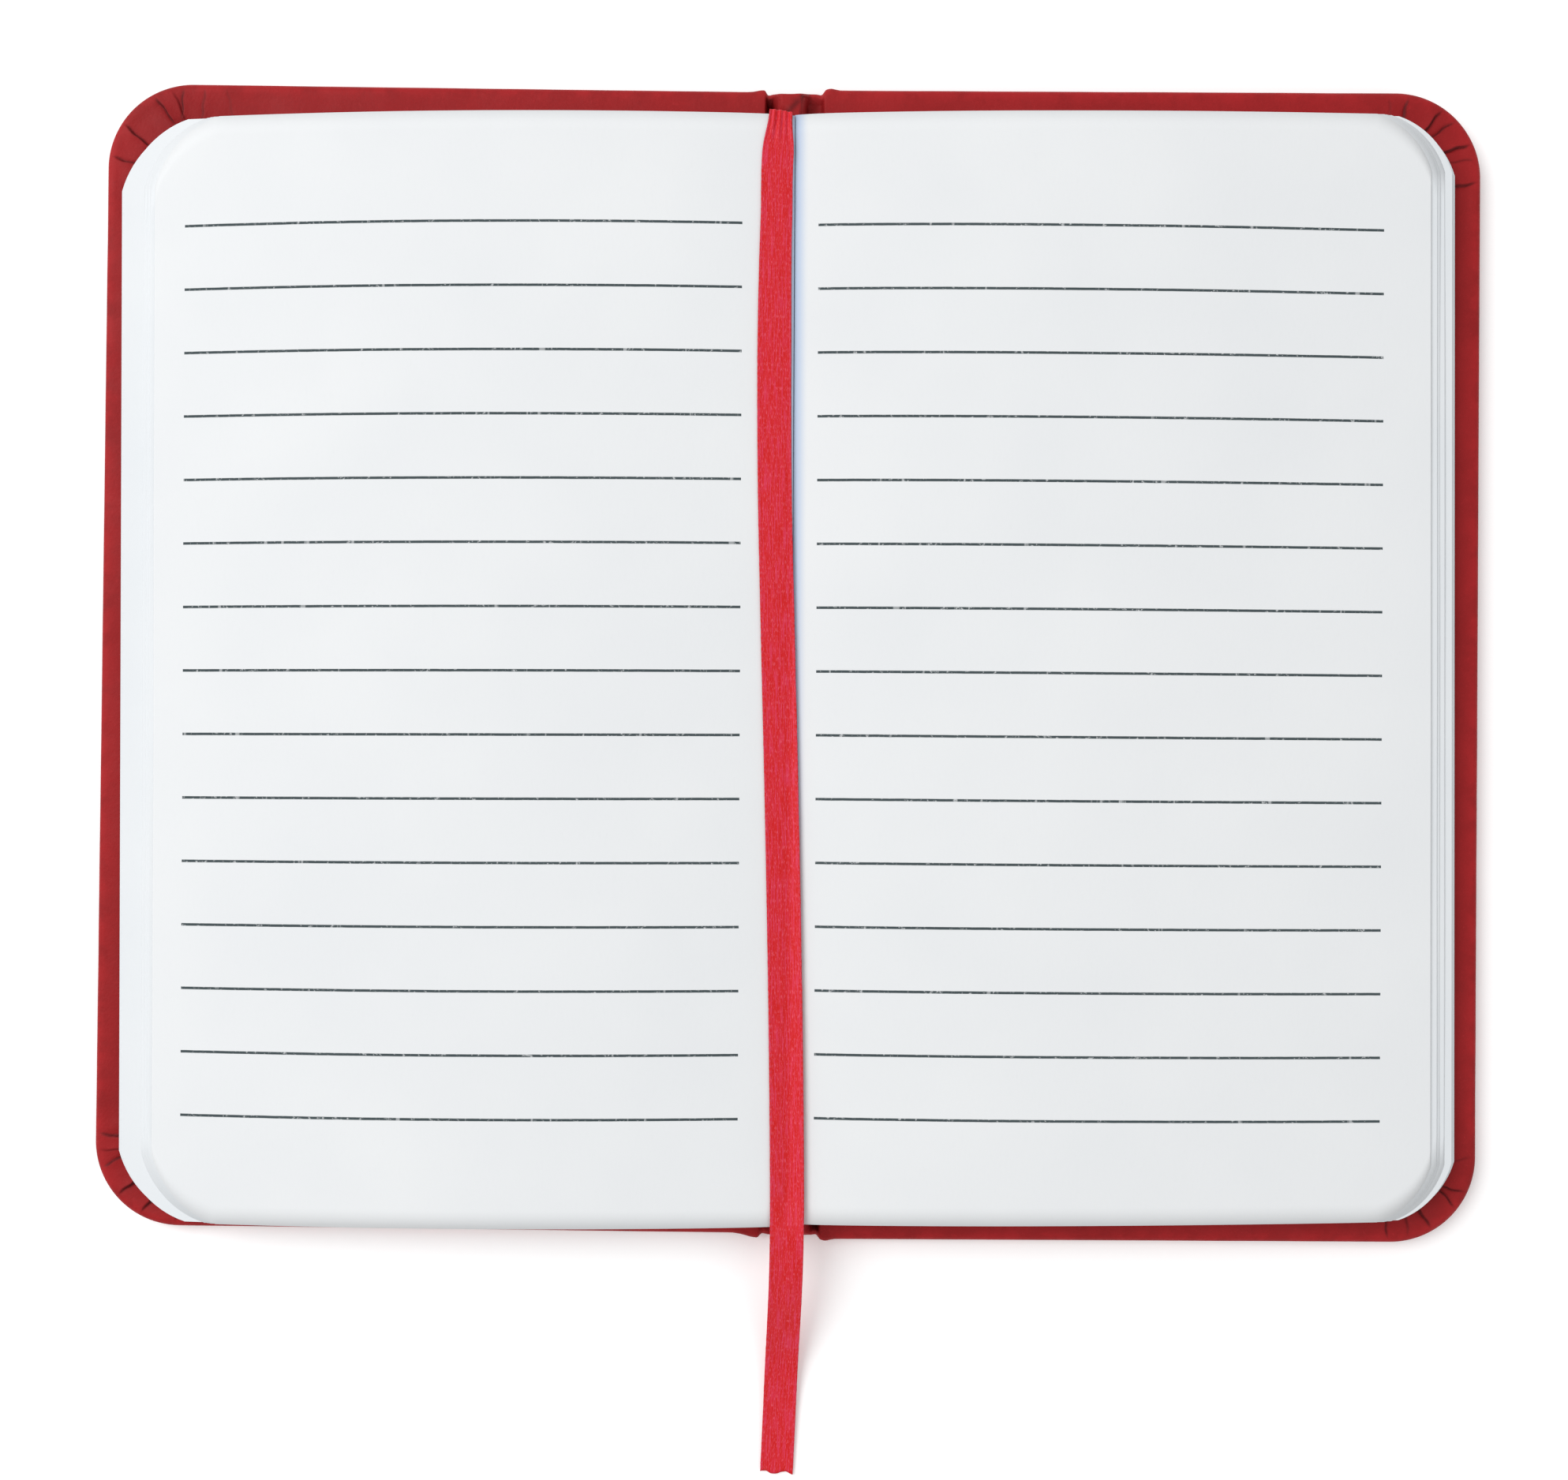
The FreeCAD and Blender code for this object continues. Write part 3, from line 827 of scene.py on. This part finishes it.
def rail_point(station, rail):
    """Place of one vertex of the covering, with its wear and its painted shade."""
    kind, amount = rail
    x, y = station_place(station, 0.0)
    low, high = cover_levels(np.array(x), np.array(y))
    rounding = min(EDGE_ROUND, float(high - low) * 0.48)
    inset, rise, wear = amount, None, 0.0
    if kind == "lower_turn":
        turn = math.radians(amount)
        inset = rounding * (1 - math.sin(turn))
        rise = float(low) + rounding * (1 - math.cos(turn))
        wear = math.sin(turn) * 0.7
    elif kind == "upper_turn":
        turn = math.radians(amount)
        inset = rounding * (1 - math.cos(turn))
        rise = float(high) - rounding * (1 - math.sin(turn))
        wear = 1 - 0.35 * math.sin(turn)
    x, y = station_place(station, inset)
    low, high = cover_levels(np.array(x), np.array(y))
    if kind == "below":
        rise = float(low)
    elif kind == "above":
        rise = float(high)
        wear = 0.45 * math.exp(-(inset - 1.0) / 0.8)
    painted_shade = 0.0
    if kind in ("above", "upper_turn"):
        away = float(smooth(4.5, 8.0, abs(x)))
        rise += 0.05 * wander(x * 0.16, y * 0.16, 1.0) * away
        rise += 0.02 * wander(x * 0.9, y * 0.9, 5.0) * (1 - away)
        sides, turn = station_turn(station)
        if -40 < turn < 160:
            height, painted_shade = pleat_relief(sides, turn, inset)
            rise += height - 0.15 * float(smooth(0.5, 2.0, inset))
        # Beside the spine's folded-up end, the hollows' painted shade replaces the pleats' painted
        # shade.
        if abs(x) < 3.6:
            painted_shade = hollow_shade(x, y)
    return (x, y, rise), wear, painted_shade


def skew_front(points):
    """Turns the front cover slightly about the upright line at the gutter."""
    points = np.array(points, float)
    share = smooth(2.4, 6.0, -points[:, 0])
    turn = FRONT_SKEW * share
    height = points[:, 1] / COVER_HALF
    reach = points[:, 1] + share * (FRONT_TAIL * (1 - height) - FRONT_HEAD * (1 + height)) / 2
    across = points[:, 0] - FRONT_WIDER * smooth(5, 60, -points[:, 0])
    x = across * np.cos(turn) + reach * np.sin(turn)
    y = -across * np.sin(turn) + reach * np.cos(turn)
    return np.stack([x, y, points[:, 2]], -1)


def covering_piece():
    """The whole covering: one sheet over both boards and the spine, turned in all round."""
    stations, xs, ys = station_list()
    rails = rail_list()
    points, wears, creases, index = [], [], [], {}
    for s, station in enumerate(stations):
        for r, rail in enumerate(rails):
            place, wear, painted_shade = rail_point(station, rail)
            index[(s, r)] = len(points)
            points.append(place)
            wears.append(wear)
            creases.append(painted_shade)
    faces = []
    for s in range(len(stations)):
        after = (s + 1) % len(stations)
        for r in range(len(rails) - 1):
            faces.append([index[(s, r)], index[(after, r)], index[(after, r + 1)], index[(s, r + 1)]])
    first = len(points)
    for y in ys:
        for x in xs:
            low, _high = cover_levels(np.array(x), np.array(y))
            points.append((x, y, float(low)))
            wears.append(0.0)
            creases.append(0.0)
    faces += grid_faces(len(ys), len(xs), first)
    obj = build_mesh("red_covering", skew_front(points), faces, LEATHERETTE)
    store_value(obj, "wear", wears)
    # Painted shade for the creases and hollows, which darkens the leatherette's colour.
    store_value(obj, "painted_shade", creases)
    weld = obj.modifiers.new("weld", "WELD")
    weld.merge_threshold = 0.00002
    shell = obj.modifiers.new("shell", "SOLIDIFY")
    shell.thickness = SKIN * MM
    shell.offset = 1
    apply_modifiers(obj)
    store_rest(obj)
    return obj


def slab_piece(name, side, inner, outer, half, corner, low, high, material):
    """A flat sheet or board with eased edges, following the cover's outline."""
    sign = -1 if side == "front" else 1
    ease = min(0.3, (high - low) * 0.4)
    rings = []
    for level, inset in ((low, ease), (low + ease, 0.0), (high - ease, 0.0), (high, ease)):
        width, reach = outer - inset, half - inset
        columns = np.concatenate([np.linspace(inner, width - corner, 24),
                                  width - corner + corner * np.sin(np.linspace(0, math.pi / 2, 15)[1:])])
        over = np.clip(columns - (width - corner), 0, corner)
        limits = reach - corner + np.sqrt(corner ** 2 - over ** 2)
        tail = np.stack([columns, -limits], -1)
        head = np.stack([columns, limits], -1)[::-1]
        loop = np.concatenate([tail, head])
        rings.append(np.column_stack([sign * loop[:, 0], loop[:, 1], np.full(len(loop), level)]))
    count = len(rings[0])
    faces = ring_faces(len(rings), count, sign < 0)
    for ring, flip in ((0, sign > 0), (len(rings) - 1, sign < 0)):
        for k in range(count // 2 - 1):
            a = ring * count
            face = [a + k, a + k + 1, a + count - 2 - k, a + count - 1 - k]
            faces.append(face[::-1] if flip else face)
    points = np.concatenate(rings)
    if side == "front":
        points = skew_front(points)
    obj = build_mesh(name, points, faces, material, False)
    store_rest(obj)
    return obj


def lining_piece():
    """Spine cloth over the folded-up covering, glued to the backs of the sections."""
    xs = np.concatenate([np.linspace(0, 0.6, 13), np.linspace(0.65, 1.75, 16)])
    xs = np.unique(np.concatenate([-xs, xs]))
    ys = np.linspace(-58.0, 58.0, 60)
    u, v = np.meshgrid(xs, ys)
    height = spine_top(u, v) + 0.03
    points = np.stack([u, v, height], -1).reshape(-1, 3)
    obj = build_mesh("spine_cloth", points, grid_faces(len(ys), len(xs)), MULL)
    shell = obj.modifiers.new("shell", "SOLIDIFY")
    shell.thickness = 0.1 * MM
    shell.offset = 1
    apply_modifiers(obj)
    store_rest(obj)
    return obj


def make_covers():
    covering = covering_piece()
    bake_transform(covering)
    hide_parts("front_cover_skin", "back_cover_skin", "spine_skin")
    lining = lining_piece()
    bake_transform(lining)
    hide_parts("spine_lining")
    for side, body in (("front", "front_cover"), ("back", "back_cover")):
        stiff = slab_piece(side + "_greyboard", side, BOARD_LOW[0], BOARD_HIGH[0] - BOARD_INSET,
                           BOARD_HIGH[1] - BOARD_INSET, CORNER - 0.5, BOARD_LOW[2],
                           BOARD_HIGH[2] - 0.05, GREYBOARD)
        finish_piece(stiff, body, "greyboard", side + "_board")
        paste = slab_piece(side + "_endpaper", side, PASTE_LOW[0], PASTE_HIGH[0] - PASTE_INSET,
                           PASTE_HIGH[1] - PASTE_INSET, PASTE_CORNER, COVER_TOP - 0.06,
                           PASTE_HIGH[2] + 0.02, ENDPAPER)
        finish_piece(paste, body, "endpaper", side + "_pastedown")


# ---------------------------------------------------------------- the ribbon

RIBBON_ROUTE = [
    (-0.00130, 0.05945, 0.00750),
    (-0.00195, 0.05050, 0.00752),
    (-0.00212, 0.03600, 0.00750),
    (-0.00202, 0.02000, 0.00753),
    (-0.00162, 0.00500, 0.00750),
    (-0.00112, -0.01200, 0.00752),
    (-0.00072, -0.02800, 0.00750),
    (-0.00042, -0.04300, 0.00752),
    (-0.00026, -0.05500, 0.00746),
    (-0.00024, -0.06250, 0.00705),
    (-0.00036, -0.06800, 0.00560),
    (-0.00056, -0.07300, 0.00320),
    (-0.00078, -0.07800, 0.00110),
    (-0.00100, -0.08420, 0.00030),
    (-0.00125, -0.09000, 0.00022),
]
RIBBON_HALF = 1.825
RIBBON_LANES = 33
# Rise per millimetre right of the gutter, which keeps it clear of the right page as pages lift
RIBBON_CLEARANCE = 0.34
# Rows that roll over the head: (set back, drop, share of the width), and how far along they lie
HEAD_ROWS = ((0.14, 1.35, 0.84), (0.18, 1.1, 0.88), (0.18, 0.8, 0.92),
             (0.16, 0.45, 0.95), (0.11, 0.16, 0.98), (0.05, 0.03, 0.99))
HEAD_PLACES = [-2.3, -1.9, -1.4, -1.0, -0.6, -0.25]


def ribbon_line():
    """The smooth line that the ribbon follows, read from a spline of order 3."""
    curve = bpy.data.curves.new("ribbon_line", "CURVE")
    curve.dimensions = "3D"
    curve.resolution_u = 24
    spline = curve.splines.new("NURBS")
    spline.points.add(len(RIBBON_ROUTE) - 1)
    for point, place in zip(spline.points, RIBBON_ROUTE):
        point.co = (*place, 1)
    spline.order_u = 3
    spline.use_endpoint_u = True
    holder = bpy.data.objects.new("ribbon_line", curve)
    bpy.context.scene.collection.objects.link(holder)
    bpy.context.view_layer.update()
    graph = bpy.context.evaluated_depsgraph_get()
    mesh = bpy.data.meshes.new_from_object(holder.evaluated_get(graph))
    line = np.array([v.co[:] for v in mesh.vertices])
    bpy.data.objects.remove(holder)
    return line


def bed_height(x):
    """Height of the surface under the ribbon at a place across the gutter."""
    left = page_height("left", np.abs(x))
    right = page_height("right", np.abs(x))
    return np.where(x < 0, left, right)


def resting_height(x):
    """The ribbon's height over the gutter: the pages, smoothed by its own stiffness."""
    near = np.linspace(-1.5, 1.5, 9)
    smoothed = np.mean([bed_height(x + step) for step in near], axis=0)
    return np.maximum(smoothed, bed_height(x)) + 0.10 + RIBBON_CLEARANCE * np.clip(x, 0, None)


def ribbon_row(place, direction, travelled, total):
    """One row of the ribbon across its line, gathered at the head and loose past the tail."""
    gathered = float(1 - smooth(0.3, 4.6, travelled))
    half = RIBBON_HALF * (1 - 0.28 * gathered) * (1 - 0.07 * float(1 - smooth(10, 28, travelled)))
    half *= 1 + 0.012 * wander(travelled * 1.4, 3.0)
    shift = 0.20 * float(1 - smooth(5, 12, travelled))
    across = np.cross(direction, (0, 0, 1))
    across /= np.linalg.norm(across)
    up = np.cross(across, direction)
    on_page = float(smooth(-62.5, -57.5, place[1]))
    end_cut = float(smooth(total - 1.5, total, travelled))
    row = []
    for lane in np.linspace(-1, 1, RIBBON_LANES):
        spot = place + across * (lane * half + shift)
        flat = float(resting_height(spot[0])) - place[2]
        sway = 0.075 * wander(lane * 0.8, travelled * 0.12, 4.0) * (1 - on_page)
        curl = 0.06 * lane ** 2
        pleat = gathered * (0.10 * math.sin(lane * 13 + 0.6) + 0.06 * math.sin(lane * 7.5 + 2))
        ripple = 0.02 * wander(lane * 3.0, travelled * 0.25, 9.0)
        spot = spot + up * (flat * on_page + sway + curl + pleat + ripple)
        spot[2] = max(spot[2], 0.16)
        jag = end_cut * (0.16 * math.sin(lane * 5.0 + 0.8) + 0.10 * wander(lane * 4, 2.0))
        row.append(spot + direction * jag)
    return np.array(row)


def head_curl(first_row):
    """The rows that roll over the head of the pages and down into the spine."""
    rows = []
    lanes = np.linspace(-1, 1, RIBBON_LANES)
    middle = first_row.mean(axis=0)
    for back, drop, narrow in HEAD_ROWS:
        row = middle + (first_row - middle) * (narrow, 1, 1)
        rounded = 1 - 1.3 * lanes ** 4
        rows.append(row + np.stack([0 * lanes, back * rounded, -drop + 0 * lanes], -1))
    return rows


def weave_strip(name, rows, travelled, thick):
    """A satin strip from its rows, with its weave's own places stored."""
    points = np.concatenate(rows)
    obj = build_mesh(name, points, grid_faces(len(rows), RIBBON_LANES), SATIN)
    lanes = np.linspace(-1, 1, RIBBON_LANES) * RIBBON_HALF
    weave = [(lane * MM, along * MM, 0.0) for along in travelled for lane in lanes]
    attribute = obj.data.attributes.new("weave_place", "FLOAT_VECTOR", "POINT")
    attribute.data.foreach_set("vector", np.array(weave, np.float32).ravel())
    shell = obj.modifiers.new("shell", "SOLIDIFY")
    shell.thickness = thick * MM
    shell.offset = 0
    apply_modifiers(obj)
    return obj


def ribbon_piece():
    line = ribbon_line() / MM
    steps = np.linalg.norm(np.diff(line, axis=0), axis=1)
    travelled = np.concatenate([[0], np.cumsum(steps)])
    total = travelled[-1]
    fine = np.linspace(0, total, 480)
    centre = np.stack([np.interp(fine, travelled, line[:, k]) for k in range(3)], -1)
    ahead = np.gradient(centre, axis=0)
    ahead /= np.linalg.norm(ahead, axis=1)[:, None]
    rows = [ribbon_row(*each, total) for each in zip(centre, ahead, fine)]
    curl = head_curl(rows[0])
    obj = weave_strip("ribbon", curl + rows, HEAD_PLACES + list(fine), 0.11)
    return obj, centre * MM, curl[0]


def anchor_piece(end_row):
    """The ribbon's hidden end: twisted down from the head and glued on the sections' backs."""
    rows, travelled = [], []
    share = np.linspace(0, 1, RIBBON_LANES)
    glued = np.stack([-2.25 + 1.0 * share, np.full(RIBBON_LANES, 59.2), 3.2 + 2.6 * share], -1)
    for along in np.linspace(0, 12, 25):
        rows.append(glued - np.array([0, 12 - along, 0]))
        travelled.append(along)
    for t in np.linspace(0, 1, 9)[1:]:
        bulge = np.array([-0.15, 0.15, 0.3]) * math.sin(t * math.pi)
        rows.append(glued * (1 - t) + end_row * t + bulge)
        travelled.append(12 + t * 2.5)
    return weave_strip("ribbon_glued_end", rows, travelled, 0.1)


def make_ribbon():
    ribbon, path, end_row = ribbon_piece()
    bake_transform(ribbon)
    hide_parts("ribbon_marker", "ribbon_tail")
    finish_piece(anchor_piece(end_row), "left_pages", "ribbon", "ribbon_anchor")


# ---------------------------------------------------------------- carried-over nodes


def dress_nodes():
    for name, material in (("front_sewing_thread", THREAD), ("back_sewing_thread", THREAD)):
        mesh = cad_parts[name].data
        mesh.materials.clear()
        mesh.materials.append(material)


# ---------------------------------------------------------------- camera, light, floor

CAMERA_HEIGHT = 0.200
VIEW_WIDTH = 0.1729
VIEW_CENTRE = (-0.00083, -0.00835)
VIEW_ROLL = math.radians(0.3)
CAMERA_PLANE = 0.0024


def make_camera():
    data = bpy.data.cameras.new("camera")
    data.sensor_fit = "HORIZONTAL"
    data.sensor_width = 36.0
    data.lens = 36.0 * CAMERA_HEIGHT / VIEW_WIDTH
    data.clip_start = 0.01
    camera = bpy.data.objects.new("camera", data)
    camera.location = (*VIEW_CENTRE, CAMERA_HEIGHT + CAMERA_PLANE)
    camera.rotation_euler = (0, 0, VIEW_ROLL)
    bpy.context.scene.collection.objects.link(camera)
    bpy.context.scene.camera = camera


def area_light(name, place, target, size, power):
    data = bpy.data.lights.new(name, "AREA")
    data.shape = "DISK"
    data.size = size
    data.energy = power
    light = bpy.data.objects.new(name, data)
    light.location = place
    aim = Vector(target) - Vector(place)
    light.rotation_euler = aim.to_track_quat("-Z", "Y").to_euler()
    bpy.context.scene.collection.objects.link(light)


def make_studio():
    scene = bpy.context.scene
    scene.view_settings.view_transform = "Standard"
    scene.view_settings.look = "None"
    world = bpy.data.worlds.new("studio")
    world.use_nodes = True
    background = world.node_tree.nodes["Background"]
    background.inputs["Color"].default_value = (1.0, 1.0, 1.0, 1)
    background.inputs["Strength"].default_value = 0.585
    scene.world = world
    area_light("key", (-0.55, 0.30, 0.75), (0, 0, 0), 0.7, 6.1)
    area_light("fill", (0.6, -0.35, 0.7), (0, 0, 0), 0.8, 0.9)
    size = 3.0
    mesh = bpy.data.meshes.new("floor")
    mesh.from_pydata([(-size, -size, 0), (size, -size, 0), (size, size, 0), (-size, size, 0)],
                     [], [(0, 1, 2, 3)])
    floor = bpy.data.objects.new("floor", mesh)
    mesh.materials.append(floor_material())
    scene.collection.objects.link(floor)


make_camera()
make_ribbon()
make_studio()
make_pages()
make_covers()
dress_nodes()
